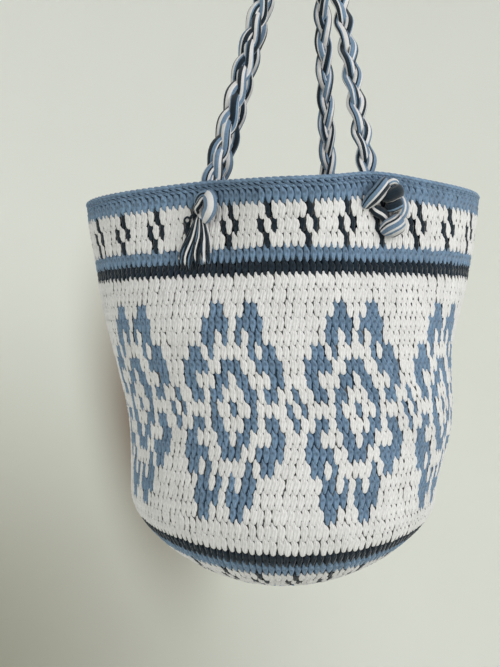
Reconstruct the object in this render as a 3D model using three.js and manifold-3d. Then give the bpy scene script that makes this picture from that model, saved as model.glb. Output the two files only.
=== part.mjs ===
// A crocheted bucket bag with two braided handles, as it hangs from a hook.
// Millimetres, +Z up, the front of the bag faces -Y, and the origin is the underside of the handles' top bend.
import * as THREE from "three";
import { mergeVertices } from "three/addons/utils/BufferGeometryUtils.js";
import Module from "manifold-3d";

const wasm = await Module();
wasm.setup();

// Crochet gauge, which sets the size of the bag
const stitchWidth = 5.2;
const stitchesAround = 162;
const rowHeight = 10.6;
const wallRows = 23;
const edgeRows = 2;
const rimEdgeHeight = 6.4;
const baseRounds = 12;
const fabricThickness = 4.4;
const rowBulge = 1.2;
const grooveShare = 0.12;
const crestShare = 0.5;

// How the bag hangs: the handles pull its wall flat and pinch the rim, and its base is a keel, less deep at the sides
const bagRadius = (stitchWidth * stitchesAround) / (2 * Math.PI);
const wallHeight = rimEdgeHeight + rowHeight * wallRows;
const baseDrop = 71.5;
const baseShoulder = 52;
const baseBelly = 73;
const baseSag = 4.7;
const baseKeel = 0.43;
const bagShift = -20;
const sideStretch = [-5.4, 3.6, 11.6, 27.4, 39.3];
const frontFlattening = [-5.4, 7.5, 17.5, 28, 12];
const sideSway = [-3, 3.5, -3.2, -2.5, -3.3];
const rimTilt = 3;
const baseTilt = -2;
const bottomTilt = 2;
const pullWidth = THREE.MathUtils.degToRad(21);
const pullDepth = 107;
const liftWidth = THREE.MathUtils.degToRad(15);
const liftDepth = 57;

// Handles: a flat braid of three strands, over a hook and down through the wall to a knot on each side
const handleDrop = 293;
const strands = 3;
const strandRadius = 2.3;
const strandSides = 6;
const braidHalfWidth = 5.5;
const braidHalfDepth = 3.6;
const braidTurn = 75;
const stepsPerTurn = 11;
const bendRadius = 10;
const bendDegrees = [165, 128, 90, 52, 15];
const handleSpacing = 16.8;
const legShares = [0.2, 0.5, 0.8];
const twistFrom = 0.26;
const twistTo = 0.46;
const holeBelowRim = 20;
const holeSides = 16;
const holeClearance = 0.8;

// How a handle runs behind its hole: shares of how far in it turns, then its lean and its height at the rim
const passShare = 0.6;
const passRise = 2;
const turnRise = 0.8;
const rimLean = 2.5;
const rimClearance = 8;

// Knots and what hangs below them
const knotGap = 0.3;
const cutEndKnot = { ring: 6.2, rope: 2.9 };
const foldedEndKnot = { ring: 9, rope: 4.2 };
const tasselLength = 42;
const tasselSpread = 13.5;
const tasselDepth = 6;
const tasselNeck = 4.5;
const tasselFlutes = 7;
const tasselLockDepth = 0.1;
const tasselUnevenness = 0.06;
const tasselWaves = 3;
const loopEndRope = 2.3;
const loopEndLength = 22;
const loopEndSides = 7;
const loopEndSteps = 14;
const seatClearance = 0.5;
const strapClearance = 1.0;

// Worked out from the sizes above
const bagSides = 28;
const braidRadius = Math.max(braidHalfWidth, braidHalfDepth) + strandRadius;
const braidThickness = 2 * (braidHalfDepth + strandRadius);
const holeRadius = braidRadius + holeClearance;
const insideGap = 4;
const wallStep = THREE.MathUtils.degToRad(3);
const insideTurn = fabricThickness / 2 + braidThickness / 2 + insideGap;

// The places where a handle's ends go through the wall. Angles are from +X, against the clock from above.
// A knot sits deeper where the wall curves away from it.
const attachments = {
  frontLeft: { angle: 231, pull: 0.25, lift: 4, seat: 0, knot: cutEndKnot, folded: false },
  frontRight: { angle: 310, pull: 0.19, lift: 8, seat: 0.7, knot: foldedEndKnot, folded: true },
  backLeft: { angle: 130, pull: 0.23, lift: 6, seat: 0.6, knot: foldedEndKnot, folded: true },
  backRight: { angle: 59, pull: 0.2, lift: 6, seat: 0.3, knot: cutEndKnot, folded: false },
};

const yarnWhite = new THREE.MeshStandardMaterial({ color: 0xdedad6, roughness: 0.9, metalness: 0 });
const yarnBlue = new THREE.MeshStandardMaterial({ color: 0x6c86a5, roughness: 0.9, metalness: 0 });
const yarnNavy = new THREE.MeshStandardMaterial({ color: 0x1e2e3c, roughness: 0.9, metalness: 0 });

const v3 = (x, y, z) => new THREE.Vector3(x, y, z);
const v2 = (x, y) => new THREE.Vector2(x, y);
const part = new THREE.Group();

// A smooth step from 0 to 1
const ease = (t) => THREE.MathUtils.smoothstep(t, 0, 1);

// A smooth curve through values at even steps of height
const along = (values, t) => new THREE.SplineCurve(values.map((value, i) => v2(i, value))).getPoint(t).y;

// How near an angle is to a place on the rim: 1 there, falling to 0 at its sides
function nearness(angle, place, width) {
  const apart = Math.atan2(Math.sin(angle - place), Math.cos(angle - place));
  return Math.exp(-((apart / width) ** 2) / 2);
}

const rimZ = -handleDrop;
const baseStartZ = rimZ - wallHeight;

// From a point of the plain tube-shaped bag, given by its radius, angle and height, to the bag as it hangs
function hang(radius, angle, z) {
  const up = THREE.MathUtils.clamp((z - baseStartZ) / wallHeight, 0, 1);
  const low = THREE.MathUtils.clamp((baseStartZ - z) / baseDrop, 0, 1);
  const halfWidth = bagRadius + along(sideStretch, up);
  const halfDepth = bagRadius - along(frontFlattening, up);
  const pulled = ease(1 - (rimZ - z) / pullDepth);
  const lifted = ease(1 - (rimZ - z) / liftDepth);
  let outline = (halfWidth * halfDepth) / Math.hypot(halfDepth * Math.cos(angle), halfWidth * Math.sin(angle));
  let lift = 0;
  let pinch = 0;
  for (const attachment of Object.values(attachments)) {
    const place = THREE.MathUtils.degToRad(attachment.angle);
    pinch += attachment.pull * pulled * nearness(angle, place, pullWidth);
    lift += attachment.lift * lifted * nearness(angle, place, liftWidth);
  }
  outline *= 1 - pinch;
  const reach = radius + (outline - bagRadius) * Math.min(radius / bagRadius, 1);
  const x = reach * Math.cos(angle);
  const keel = baseKeel * Math.max(baseStartZ - z, 0) * ((radius * Math.cos(angle)) / bagRadius) ** 2;
  const rise = THREE.MathUtils.lerp(THREE.MathUtils.lerp(baseTilt, rimTilt, up), bottomTilt, low);
  return v3(bagShift + along(sideSway, up) + x, reach * Math.sin(angle), z + lift + keel + (rise * x) / halfWidth);
}

// The middle of the fabric, down the wall and round under the base to its centre
const basePath = new THREE.CubicBezierCurve(
  v2(bagRadius, baseStartZ),
  v2(bagRadius, baseStartZ - baseShoulder),
  v2(baseBelly, baseStartZ - baseDrop + baseSag),
  v2(0, baseStartZ - baseDrop),
);

// The fabric's outer profile has a bulge for each row of stitches, and its inner profile is plain
function fabricProfile() {
  const half = fabricThickness / 2;
  const outer = [];
  const addRow = (from, to) => {
    outer.push(v2(bagRadius + half - rowBulge / 2, THREE.MathUtils.lerp(from, to, grooveShare)));
    outer.push(v2(bagRadius + half + rowBulge / 2, THREE.MathUtils.lerp(from, to, crestShare)));
  };
  outer.push(v2(bagRadius, rimZ));
  for (let i = 0; i < edgeRows; i++)
    addRow(rimZ - (rimEdgeHeight / edgeRows) * i, rimZ - (rimEdgeHeight / edgeRows) * (i + 1));
  for (let i = 0; i < wallRows; i++)
    addRow(rimZ - rimEdgeHeight - rowHeight * i, rimZ - rimEdgeHeight - rowHeight * (i + 1));
  const offsetFromBase = (t, offset) => {
    const point = basePath.getPointAt(t);
    const tangent = basePath.getTangentAt(t);
    return v2(point.x - tangent.y * offset, point.y + tangent.x * offset);
  };
  for (let i = 0; i < baseRounds; i++) {
    outer.push(offsetFromBase((i + grooveShare) / baseRounds, half - rowBulge / 2));
    outer.push(offsetFromBase((i + crestShare) / baseRounds, half + rowBulge / 2));
  }
  outer.push(v2(0, baseStartZ - baseDrop - half));
  const inner = [v2(0, baseStartZ - baseDrop + half)];
  const innerBaseSteps = 7;
  for (let i = innerBaseSteps - 1; i >= 0; i--) inner.push(offsetFromBase(i / innerBaseSteps, -half));
  const innerWallSteps = 8;
  for (let i = innerWallSteps - 1; i >= 0; i--)
    inner.push(v2(bagRadius - half, rimZ - half - ((wallHeight - half) * i) / innerWallSteps));
  return [...outer, ...inner, outer[0]].reverse();
}

// A three.js geometry as one closed surface: shared vertices merged, and faces of no area dropped
function closed(geometry) {
  geometry.deleteAttribute("normal");
  geometry.deleteAttribute("uv");
  const merged = mergeVertices(geometry, 1e-4);
  const faces = [];
  const index = merged.index.array;
  for (let i = 0; i < index.length; i += 3) {
    const [a, b, c] = index.subarray(i, i + 3);
    if (a !== b && b !== c && c !== a) faces.push(a, b, c);
  }
  merged.setIndex(faces);
  return merged;
}

function solid(geometry) {
  const surface = closed(geometry);
  const vertProperties = new Float32Array(surface.attributes.position.array);
  const triVerts = new Uint32Array(surface.index.array);
  return new wasm.Manifold(new wasm.Mesh({ numProp: 3, vertProperties, triVerts }));
}

function geometryOf(body) {
  const { vertProperties, triVerts } = body.getMesh();
  const geometry = new THREE.BufferGeometry();
  geometry.setAttribute("position", new THREE.BufferAttribute(vertProperties, 3));
  geometry.setIndex(new THREE.BufferAttribute(triVerts, 1));
  return geometry;
}

function addMesh(parent, name, geometry, material) {
  const mesh = new THREE.Mesh(geometry, material);
  mesh.name = name;
  parent.add(mesh);
  return mesh;
}

// A polygon with its corners on a circle
function roundSection(radius, sides) {
  const corners = [];
  for (let i = 0; i < sides; i++) {
    const angle = (2 * Math.PI * i) / sides;
    corners.push(v2(radius * Math.cos(angle), radius * Math.sin(angle)));
  }
  return new THREE.Shape(corners);
}

// A knot lies against the wall with its loops in the wall's plane. Its ring radius gives its size.
const knotTurns = 2;
const knotLoops = 3;
const knotSteps = 30;
const knotSides = 7;
const knotDepth = ({ ring, rope }) => ring + 2 * rope;
const knotHeight = ({ ring, rope }) => 1.5 * ring + rope;
const knotBack = fabricThickness / 2 + rowBulge + knotGap;
const knotDistance = ({ knot, seat }) => knotBack - seat + knotDepth(knot) / 2;
const strapEnd = (seat) => knotBack - seat - strapClearance;

// A point on the outside of the wall, straight below a handle's hole
function wallBelow({ angle }, drop) {
  const outside = bagRadius + fabricThickness / 2 + rowBulge / 2;
  return hang(outside, THREE.MathUtils.degToRad(angle), rimZ - holeBelowRim - drop);
}

// The frame on the wall at a handle's hole: X along the wall, -Y out of the bag, Z up the wall
function wallFrame(end) {
  const place = THREE.MathUtils.degToRad(end.angle);
  const height = rimZ - holeBelowRim;
  const along = hang(bagRadius, place + wallStep, height).sub(hang(bagRadius, place - wallStep, height));
  const x = along.setZ(0).normalize();
  const up = wallBelow(end, -rowHeight).sub(wallBelow(end, rowHeight));
  const y = up.cross(x).normalize();
  const frame = new THREE.Group();
  frame.quaternion.setFromRotationMatrix(new THREE.Matrix4().makeBasis(x, y, x.clone().cross(y)));
  frame.position.copy(hang(bagRadius, place, height));
  frame.updateMatrixWorld(true);
  return frame;
}

// The centreline of a handle, from one knot over the hook to the other, and which way the braid's width lies on it
class HandleLine extends THREE.CatmullRomCurve3 {
  constructor(left, right, facing) {
    const hookY = (-facing * handleSpacing) / 2;
    const bendZ = braidThickness / 2 - bendRadius;
    const sides = [left, right].map((end, i) => {
      const points = [
        v3(0, -strapEnd(end.seat), 0),
        v3(0, insideTurn * passShare, passRise),
        v3(0, insideTurn, insideTurn * turnRise),
        v3(0, insideTurn + rimLean, holeBelowRim + rimClearance),
      ];
      for (const point of points) point.applyMatrix4(wallFrame(end).matrixWorld);
      const foot = points.at(-1);
      const top = v3((2 * i - 1) * bendRadius, hookY, bendZ);
      return [...points, ...legShares.map((share) => foot.clone().lerp(top, share))];
    });
    const bend = bendDegrees.map((degrees) => {
      const angle = THREE.MathUtils.degToRad(degrees);
      return v3(bendRadius * Math.cos(angle), hookY, bendZ + bendRadius * Math.sin(angle));
    });
    super([...sides[0], ...bend, ...sides[1].reverse()]);
    this.curveType = "centripetal";
    this.arcLengthDivisions = 1000;
    const acrossWall = (end) => v3(1, 0, 0).applyQuaternion(wallFrame(end).quaternion);
    const [leftWidth, rightWidth] = [acrossWall(left), acrossWall(right)];
    this.widths = [leftWidth.multiplyScalar(facing), v3(0, -facing, 0), rightWidth.multiplyScalar(-facing)];
  }

  // The braid's width and depth directions at a share of the length. It turns to lie flat on the hook.
  frameAt(share) {
    const tangent = this.getTangentAt(share);
    const toHook = ease((share - twistFrom) / (twistTo - twistFrom));
    const fromHook = ease((share - (1 - twistTo)) / (twistTo - twistFrom));
    const width = this.widths[0].clone().lerp(this.widths[1], toHook).lerp(this.widths[2], fromHook);
    width.addScaledVector(tangent, -width.dot(tangent)).normalize();
    return { width, depth: tangent.cross(width) };
  }
}

// One strand of a braid. Its samples stay level with those of the other strands.
class Strand extends THREE.Curve {
  constructor(line, number) {
    super();
    Object.assign(this, { line, number });
  }

  getPoint(share) {
    const turn = (2 * Math.PI * share * this.line.getLength()) / braidTurn + (2 * Math.PI * this.number) / strands;
    const { width, depth } = this.line.frameAt(share);
    const point = this.line.getPointAt(share);
    point.addScaledVector(width, braidHalfWidth * Math.sin(turn));
    return point.addScaledVector(depth, braidHalfDepth * Math.sin(2 * turn));
  }

  getUtoTmapping(u) {
    return u;
  }
}

function strandGeometry(strand) {
  const steps = Math.ceil((strand.line.getLength() / braidTurn) * stepsPerTurn);
  const section = roundSection(strandRadius, strandSides);
  return closed(new THREE.ExtrudeGeometry(section, { steps, bevelEnabled: false, extrudePath: strand }));
}

// A knot in its own frame: a pulled-up overhand knot with one of its loops pointing down
function knotGeometry({ ring, rope }) {
  const knot = new THREE.TorusKnotGeometry(ring, rope, knotSteps, knotSides, knotTurns, knotLoops);
  return closed(knot.rotateX(Math.PI / 2).rotateY(Math.PI / 2));
}

// The cut yarns below a knot: a flat fan with rounded locks and an uneven lower edge
function tasselGeometry() {
  const profile = [v2(0, -tasselLength), v2(tasselSpread * 0.8, -tasselLength * 0.97)];
  profile.push(v2(tasselSpread, -tasselLength * 0.85), v2(tasselSpread * 0.75, -tasselLength * 0.5));
  profile.push(v2(tasselNeck * 1.15, -tasselLength * 0.15), v2(tasselNeck, 0), v2(0, 0));
  const fan = new THREE.LatheGeometry(profile, tasselFlutes * 3).rotateX(Math.PI / 2);
  const corners = fan.attributes.position;
  for (let i = 0; i < corners.count; i++) {
    const [x, y, z] = [corners.getX(i), corners.getY(i), corners.getZ(i)];
    const around = Math.atan2(y, x);
    const down = -z / tasselLength;
    const lock = 1 + tasselLockDepth * down * Math.cos(tasselFlutes * around);
    const depth = THREE.MathUtils.lerp(1, tasselDepth / tasselSpread, ease(down * 2));
    const uneven = 1 + tasselUnevenness * down * Math.cos(tasselWaves * around + 1);
    corners.setXYZ(i, x * lock, y * lock * depth, z * uneven);
  }
  return closed(fan);
}

// The folded end below a knot: the strap's yarns go down and come back up
function loopEndGeometry() {
  const x = loopEndRope + seatClearance;
  const line = new THREE.CatmullRomCurve3([
    v3(-x, 0, 0),
    v3(-x * 1.25, 0, -loopEndLength * 0.5),
    v3(-x, 0, -loopEndLength * 0.85),
    v3(0, 0, -loopEndLength),
    v3(x, 0, -loopEndLength * 0.85),
    v3(x * 1.25, 0, -loopEndLength * 0.5),
    v3(x, 0, 0),
  ]);
  const section = roundSection(loopEndRope, loopEndSides);
  const options = { steps: loopEndSteps, bevelEnabled: false, extrudePath: line };
  return closed(new THREE.ExtrudeGeometry(section, options));
}

// The fabric, with a hole for each end of a handle
function addBag(ends) {
  const bag = new THREE.LatheGeometry(fabricProfile(), bagSides).rotateX(Math.PI / 2);
  const corners = bag.attributes.position;
  for (let i = 0; i < corners.count; i++) {
    const [x, y, z] = [corners.getX(i), corners.getY(i), corners.getZ(i)];
    const placed = hang(Math.hypot(x, y), Math.atan2(y, x), z);
    corners.setXYZ(i, placed.x, placed.y, placed.z);
  }
  let fabric = solid(bag);
  for (const end of ends) {
    const hole = new THREE.CylinderGeometry(holeRadius, holeRadius, fabricThickness * 4, holeSides);
    fabric = fabric.subtract(solid(hole.applyMatrix4(wallFrame(end).matrixWorld)));
  }
  addMesh(part, "crocheted_bag", geometryOf(fabric), yarnWhite);
}

// The knot outside the wall at one end of a handle, and the yarns that hang below it
function addEnd(name, end) {
  const frame = wallFrame(end);
  part.add(frame);
  const knot = addMesh(frame, `${name}_knot`, knotGeometry(end.knot), yarnBlue);
  knot.position.y = -knotDistance(end);
  const top = -knotHeight(end.knot) - seatClearance;
  const foot = wallBelow(end, tasselLength - top).applyMatrix4(frame.matrixWorld.clone().invert());
  const hanging = end.folded
    ? addMesh(frame, `${name}_loop_end`, loopEndGeometry(), yarnNavy)
    : addMesh(frame, `${name}_tassel`, tasselGeometry(), yarnNavy);
  hanging.position.set(0, knot.position.y, top);
  hanging.rotation.x = Math.atan2(foot.y - tasselDepth - knotGap - knot.position.y, tasselLength);
}

// One handle: the three strands of its braid, and its two ends
function addHandle(name, left, right, facing) {
  const line = new HandleLine(left, right, facing);
  const colours = [yarnNavy, yarnWhite, yarnBlue];
  for (let i = 0; i < strands; i++)
    addMesh(part, `${name}_handle_strand_${i + 1}`, strandGeometry(new Strand(line, i)), colours[i]);
  addEnd(`${name}_left`, left);
  addEnd(`${name}_right`, right);
}

addBag(Object.values(attachments));
addHandle("front", attachments.frontLeft, attachments.frontRight, 1);
addHandle("back", attachments.backLeft, attachments.backRight, -1);

export default part;
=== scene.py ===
import math

import bmesh
import bpy
import numpy as np
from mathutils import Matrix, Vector


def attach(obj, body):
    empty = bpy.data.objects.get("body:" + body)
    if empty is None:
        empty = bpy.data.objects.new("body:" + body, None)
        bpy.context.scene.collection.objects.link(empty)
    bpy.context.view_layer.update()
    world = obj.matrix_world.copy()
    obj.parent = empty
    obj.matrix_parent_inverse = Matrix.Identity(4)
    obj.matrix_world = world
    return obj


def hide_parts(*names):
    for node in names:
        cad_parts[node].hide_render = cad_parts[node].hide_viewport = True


bl_info = {
    "name": "Crocheted bucket bag",
    "version": (1, 0, 0),
    "blender": (4, 5, 0),
    "location": "View3D > Sidebar > Bag",
    "description": "Crochets a bucket bag stitch by stitch and braids, knots and fringes its handles",
    "category": "Object",
}

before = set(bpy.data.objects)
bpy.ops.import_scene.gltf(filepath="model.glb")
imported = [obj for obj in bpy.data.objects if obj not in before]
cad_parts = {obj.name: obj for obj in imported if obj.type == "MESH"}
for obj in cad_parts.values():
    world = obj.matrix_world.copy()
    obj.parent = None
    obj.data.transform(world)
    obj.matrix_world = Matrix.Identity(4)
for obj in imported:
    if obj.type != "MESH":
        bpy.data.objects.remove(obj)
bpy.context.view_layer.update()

WHITE, BLUE, NAVY = 0, 1, 2
# Letters for the yarns, for the lists of what goes round a strand
YARN_LETTERS = {"W": WHITE, "B": BLUE, "N": NAVY}
# Where the random draws of each piece start
SEEDS = {"crochet": 11, "front": 5, "back": 6, "knots": 20}


def measure(name, description, default, unit="LENGTH"):
    """A size that a user would change: one value, a row of them, or a whole number"""
    if isinstance(default, int):
        return bpy.props.IntProperty(name=name, description=description, default=default)
    settings = {"name": name, "description": description, "default": default, "unit": unit}
    if isinstance(default, tuple):
        return bpy.props.FloatVectorProperty(size=len(default), **settings)
    return bpy.props.FloatProperty(**settings)


def tint(name, description, default):
    """A colour that a user would change"""
    return bpy.props.FloatVectorProperty(
        name=name, description=description, default=default, size=3, subtype="COLOR", min=0, max=1
    )


class BagSizes(bpy.types.PropertyGroup):
    """Gauge of the crochet and shape of the hanging bag, as in the part's source"""

    stitch_width: measure("Stitch width", "Width of one stitch", 0.0052)
    stitches_around: measure("Stitches around", "Stitches in one round of the wall", 162)
    row_height: measure("Row height", "Height of one round of double crochet", 0.0106)
    wall_rows: measure("Wall rounds", "Rounds of double crochet on the straight wall", 23)
    base_rows: measure("Base rounds", "Rounds from the wall to the centre of the base", 15)
    rim_edge: measure("Rim edge", "Height of the low rounds at the rim", 0.0064)
    rim_height: measure("Rim height", "Height of the rim before it is pulled", -0.293)
    base_drop: measure("Base drop", "Depth of the rounded base", 0.0715)
    base_shoulder: measure("Base shoulder", "How far the wall runs on into the base", 0.052)
    base_belly: measure("Base belly", "How far out the base stays full", 0.073)
    base_sag: measure("Base sag", "Rise of the base between belly and centre", 0.0047)
    base_keel: measure("Base keel", "Share by which the base is less deep at its sides", 0.43, "NONE")
    shift: measure("Shift", "Place of the bag's middle along X", -0.020)
    side_stretch: measure(
        "Side stretch", "How far the sides stand out, from the base up to the rim",
        (-0.0054, 0.0036, 0.0116, 0.0274, 0.0393)
    )
    front_flattening: measure(
        "Front flattening", "How far front and back move in, from the base up to the rim",
        (-0.0054, 0.0075, 0.0175, 0.028, 0.012)
    )
    side_sway: measure(
        "Side sway", "How far the middle sways along X, from the base up to the rim",
        (-0.003, 0.0035, -0.0032, -0.0025, -0.0033)
    )
    rim_tilt: measure("Rim tilt", "Rise of the rim at its right side", 0.003)
    base_tilt: measure("Base tilt", "Rise of the wall's end at its right side", -0.002)
    bottom_tilt: measure("Bottom tilt", "Rise of the base at its right side", 0.002)
    pull_width: measure(
        "Pull width", "Angle over which a strap pinches the rim", math.radians(21), "ROTATION"
    )
    pull_depth: measure("Pull depth", "How far down a pinch reaches", 0.107)
    lift_width: measure(
        "Lift width", "Angle over which a strap lifts the rim", math.radians(15), "ROTATION"
    )
    lift_depth: measure("Lift depth", "How far down a lift reaches", 0.057)
    strap_angles: measure(
        "Strap angles", "Places of the straps: front left, front right, back left, back right",
        tuple(math.radians(a) for a in (231, 310, 130, 59)), "ROTATION"
    )
    strap_pulls: measure(
        "Strap pulls", "How strongly each strap pinches the rim", (0.25, 0.19, 0.23, 0.20), "NONE"
    )
    strap_lifts: measure("Strap lifts", "How far each strap lifts the rim", (0.004, 0.008, 0.006, 0.006))
    knot_seats: measure("Knot seats", "How much deeper each knot sits", (0.0, 0.0007, 0.0006, 0.0003))
    fabric_core: measure("Fabric core", "Thickness of the fabric between its two faces of stitches", 0.0016)
    outer_stitch: measure("Outer stitch", "Height of an outer stitch over the core", 0.0021)
    inner_stitch: measure("Inner stitch", "Height of an inner stitch over the core", 0.0014)
    stitch_slant: measure("Stitch slant", "Lean of a stitch, in stitch widths over a round", 0.19, "NONE")
    seam_drift: measure(
        "Seam drift", "Drift of the columns to the left, in stitches a round", 0.150, "NONE"
    )
    front_column: measure(
        "Front column", "Stitches from the front middle to a medallion's centre", 10.2, "NONE"
    )


class YarnColours(bpy.types.PropertyGroup):
    """Colours of the three cotton yarns"""

    white: tint("White", "Colour of the white cotton", (0.79, 0.775, 0.785))
    blue: tint("Light blue", "Colour of the light blue cotton", (0.185, 0.287, 0.425))
    navy: tint("Navy", "Colour of the navy cotton", (0.010, 0.022, 0.037))


class HandleSizes(bpy.types.PropertyGroup):
    """Route and braid of the two handles, as in the part's source"""

    drop_below_rim: measure("Hole below rim", "How far below the rim a strap goes through", 0.020)
    inside_turn: measure("Inside turn", "How far inside the wall a strap turns down", 0.0121)
    strap_end: measure("Strap end", "How far outside the wall's middle a braid ends", 0.0027)
    bend_radius: measure("Bend radius", "Radius of the bend over the hook", 0.010)
    spacing: measure("Spacing", "Distance between the two handles on the hook", 0.0168)
    half_thickness: measure("Half thickness", "Half the thickness of the braid", 0.0059)
    twist_from: measure("Twist from", "Share of the length where the braid starts to turn", 0.26, "NONE")
    twist_to: measure("Twist to", "Share of the length where the braid has turned", 0.46, "NONE")
    braid_turn: measure("Braid turn", "Length in which a strand crosses over and comes back", 0.075)
    half_width: measure("Half width", "Swing of a strand across the braid", 0.0042)
    half_depth: measure("Half depth", "Swing of a strand through the braid", 0.0031)
    bundle_width: measure("Bundle width", "Half the width of a strand", 0.0043)
    bundle_depth: measure("Bundle depth", "Half the depth of a strand", 0.0030)
    bundle_turn: measure("Bundle turn", "Length in which the yarns turn once round their strand", 0.31)


class StageSettings(bpy.types.PropertyGroup):
    """Backdrop, lights and camera"""

    wall: tint("Wall", "Colour of the backdrop", (0.80, 0.81, 0.765))
    floor_drop: measure("Floor drop", "Height of the floor", -1.80)
    wall_radius: measure("Wall radius", "Distance of the backdrop", 2.3)
    wall_glow: measure("Wall glow", "Light that the backdrop gives off itself", 0.15, "NONE")
    shade_place: measure("Shade", "Middle of the wide shade on the backdrop", (-1.25, 1.9, -1.75))
    shade_reach: measure(
        "Shade reach", "How far the wide shade spreads along each axis", (1.85, 1.85, 1.85)
    )
    shade_colour: tint(
        "Shade colour", "What the middle of the wide shade leaves of the wall's colour", (0.41, 0.40, 0.34)
    )
    near_place: measure("Near shade", "Middle of the bag's own shade on the backdrop", (-0.42, 2.26, -0.75))
    near_reach: measure("Near reach", "How far the bag's shade spreads along each axis", (0.285, 1.0, 0.88))
    near_colour: tint(
        "Near colour", "What the middle of the bag's shade leaves of the wall's colour", (0.22, 0.14, 0.10)
    )
    near_lean: measure("Near lean", "Lean of the bag's shade", -0.2, "ROTATION")
    key_power: measure("Key power", "Power of the large soft light", 21.0, "POWER")
    fill_power: measure("Fill power", "Power of the fill light", 3.5, "POWER")
    sky: measure("Room light", "Strength of the light from all around", 0.4, "NONE")


def bag_sizes():
    """The bag's sizes, as set in the sidebar"""
    return bpy.context.scene.bag_sizes


def handle_sizes():
    """The handles' sizes, as set in the sidebar"""
    return bpy.context.scene.handle_sizes


def cubic(start, end, leave, arrive, t):
    """A curve from start to end that leaves and arrives with the given slopes, read at t from 0 to 1"""
    bend = 3 * end - 3 * start - 2 * leave - arrive
    return (2 * start - 2 * end + leave + arrive) * t**3 + bend * t**2 + leave * t + start


def along(values, share):
    """A smooth curve through values at even steps, read at shares from 0 to 1"""
    values = np.asarray(values, float)
    last = len(values) - 1
    place = np.clip(share, 0, 1) * last
    step = np.minimum(np.floor(place).astype(int), last - 1)
    t = place - step
    p0 = values[np.maximum(step - 1, 0)]
    p1 = values[step]
    p2 = values[step + 1]
    p3 = values[np.minimum(step + 2, last)]
    return cubic(p1, p2, (p2 - p0) / 2, (p3 - p1) / 2, t)


def distances(line):
    """How far along a line each of its points lies"""
    return np.concatenate(([0], np.cumsum(np.linalg.norm(np.diff(line, axis=0), axis=1))))


def ease(share):
    """From 0 to 1, slow at both ends"""
    share = np.clip(share, 0, 1)
    return share * share * (3 - 2 * share)


def nearness(angle, place, width):
    """How near an angle is to a place on the rim, 1 there and 0 at its sides"""
    apart = np.arctan2(np.sin(angle - place), np.cos(angle - place))
    return np.exp(-((apart / width) ** 2) / 2)


# The chart of stitch columns: its steps down the bag and along a round, the columns it holds beyond both
# ends of a round, and the steps in which it measures one turn of the bag
CHART_DROP = 0.004
CHART_COLUMN = 0.5
SPARE_COLUMNS = 12
TURN_STEPS = 720
# Where the chart is read last, in steps before its end
LAST_STEP = 1.001
# The round on which the front column is counted
FRONT_ROUND = 8.5
# Low rounds at the rim, base rounds with as many stitches as the wall, wedges of the other base rounds, and
# the share of a round's height at which its stitches are counted
LOW_ROUNDS = 2
FULL_ROUNDS = 7
WEDGES = 9
COUNTED_AT = 0.8
# Points on the curve of the base
BASE_POINTS = 400


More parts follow.
